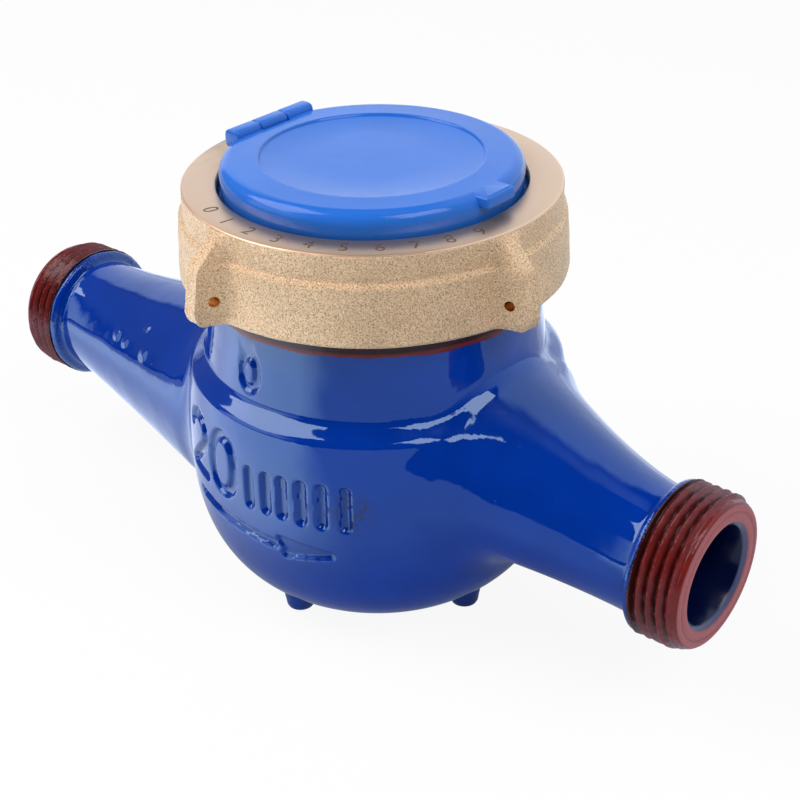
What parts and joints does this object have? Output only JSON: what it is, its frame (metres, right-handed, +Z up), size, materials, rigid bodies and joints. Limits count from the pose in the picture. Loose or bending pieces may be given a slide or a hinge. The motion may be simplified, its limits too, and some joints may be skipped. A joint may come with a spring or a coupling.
{
  "type": "water meter",
  "caption": "Cold water meter: cast bowl-shaped body with two threaded ends, brass cover ring with sealing lugs, hinged plastic lid, and a multi-jet vane wheel that drives a geared register",
  "frame": {"origin": "under the pipe axis, midway between the two end faces, on the floor that the four feet stand on", "axes": "+X is the flow direction from inlet to outlet along the pipe, +Z is up towards the lid, +Y completes the frame"},
  "size_m": [0.195, 0.0948, 0.1027],
  "materials": {
    "blue_enamel": "glossy blue enamel on a cast body",
    "cast_brass": "as cast, machined on the top face",
    "blue_plastic": "glossy moulded plastic",
    "stainless": "turned stainless steel",
    "clear_glass": "polished clear glass",
    "black_rubber": "black rubber",
    "white_plastic": "moulded white plastic",
    "grey_plastic": "moulded grey plastic",
    "red_plastic": "moulded red plastic"
  },
  "bodies": {
    "meter": {"body_casting": "blue_enamel", "chamber_cover": "white_plastic", "chamber_gasket": "black_rubber", "chamber_strainer": "grey_plastic", "cover_glass": "clear_glass", "cover_ring": "cast_brass", "dial_plate": "white_plastic", "gear_plate_lower": "white_plastic", "gear_plate_upper": "white_plastic", "glass_gasket": "black_rubber", "hinge_pin": "stainless", "inlet_strainer": "grey_plastic", "lid_seat": "blue_plastic", "measuring_chamber": "white_plastic", "pivot_pin": "stainless", "register_cup": "grey_plastic", "slip_washer": "white_plastic"},
    "lid": {"lid": "blue_plastic"},
    "impeller": {"impeller": "white_plastic"},
    "star_arbor": {"star_arbor": "white_plastic", "leak_star": "red_plastic"},
    "idler_arbor_1": {"idler_arbor_1": "white_plastic"},
    "idler_arbor_2": {"idler_arbor_2": "white_plastic"},
    "idler_arbor_3": {"idler_arbor_3": "white_plastic"},
    "pointer_arbor_1": {"pointer_arbor_1": "white_plastic", "pointer_1": "red_plastic"},
    "pointer_arbor_2": {"pointer_arbor_2": "white_plastic", "pointer_2": "red_plastic"},
    "pointer_arbor_3": {"pointer_arbor_3": "white_plastic", "pointer_3": "red_plastic"},
    "pointer_arbor_4": {"pointer_arbor_4": "white_plastic", "pointer_4": "red_plastic"}
  },
  "joints": [
    {"name": "lid_hinge", "type": "hinge", "parent": "meter", "child": "lid", "pos_m": [-0.0199, 0, 0.1003], "axis": [0, -1, 0], "range_deg": [0, 115]},
    {"name": "impeller_spin", "type": "hinge", "parent": "meter", "child": "impeller", "pos_m": [0.0097, 0, 0.034], "axis": [0, 0, 1], "continuous": true},
    {"name": "star_arbor_spin", "type": "hinge", "parent": "meter", "child": "star_arbor", "pos_m": [0.001, -0.00405, 0.034], "axis": [0, 0, 1], "continuous": true},
    {"name": "pointer_arbor_1_spin", "type": "hinge", "parent": "meter", "child": "pointer_arbor_1", "pos_m": [-0.00829, 0.00063, 0.034], "axis": [0, 0, 1], "continuous": true},
    {"name": "idler_arbor_1_spin", "type": "hinge", "parent": "meter", "child": "idler_arbor_1", "pos_m": [-0.00751, -0.00894, 0.034], "axis": [0, 0, 1], "continuous": true},
    {"name": "pointer_arbor_2_spin", "type": "hinge", "parent": "meter", "child": "pointer_arbor_2", "pos_m": [0.00056, -0.0155, 0.034], "axis": [0, 0, 1], "continuous": true},
    {"name": "idler_arbor_2_spin", "type": "hinge", "parent": "meter", "child": "idler_arbor_2", "pos_m": [0.00934, -0.01939, 0.034], "axis": [0, 0, 1], "continuous": true},
    {"name": "pointer_arbor_3_spin", "type": "hinge", "parent": "meter", "child": "pointer_arbor_3", "pos_m": [0.01896, -0.01544, 0.034], "axis": [0, 0, 1], "continuous": true},
    {"name": "idler_arbor_3_spin", "type": "hinge", "parent": "meter", "child": "idler_arbor_3", "pos_m": [0.02656, -0.00958, 0.034], "axis": [0, 0, 1], "continuous": true},
    {"name": "pointer_arbor_4_spin", "type": "hinge", "parent": "meter", "child": "pointer_arbor_4", "pos_m": [0.02768, 0.00076, 0.034], "axis": [0, 0, 1], "continuous": true}
  ],
  "couplings": [
    {"joint": "star_arbor_spin", "follows": "impeller_spin", "ratio": -0.33333},
    {"joint": "pointer_arbor_1_spin", "follows": "impeller_spin", "ratio": 0.1},
    {"joint": "idler_arbor_1_spin", "follows": "impeller_spin", "ratio": -0.033333},
    {"joint": "pointer_arbor_2_spin", "follows": "impeller_spin", "ratio": 0.01},
    {"joint": "idler_arbor_2_spin", "follows": "impeller_spin", "ratio": -0.0033333},
    {"joint": "pointer_arbor_3_spin", "follows": "impeller_spin", "ratio": 0.001},
    {"joint": "idler_arbor_3_spin", "follows": "impeller_spin", "ratio": -0.00033333},
    {"joint": "pointer_arbor_4_spin", "follows": "impeller_spin", "ratio": 0.0001}
  ]
}
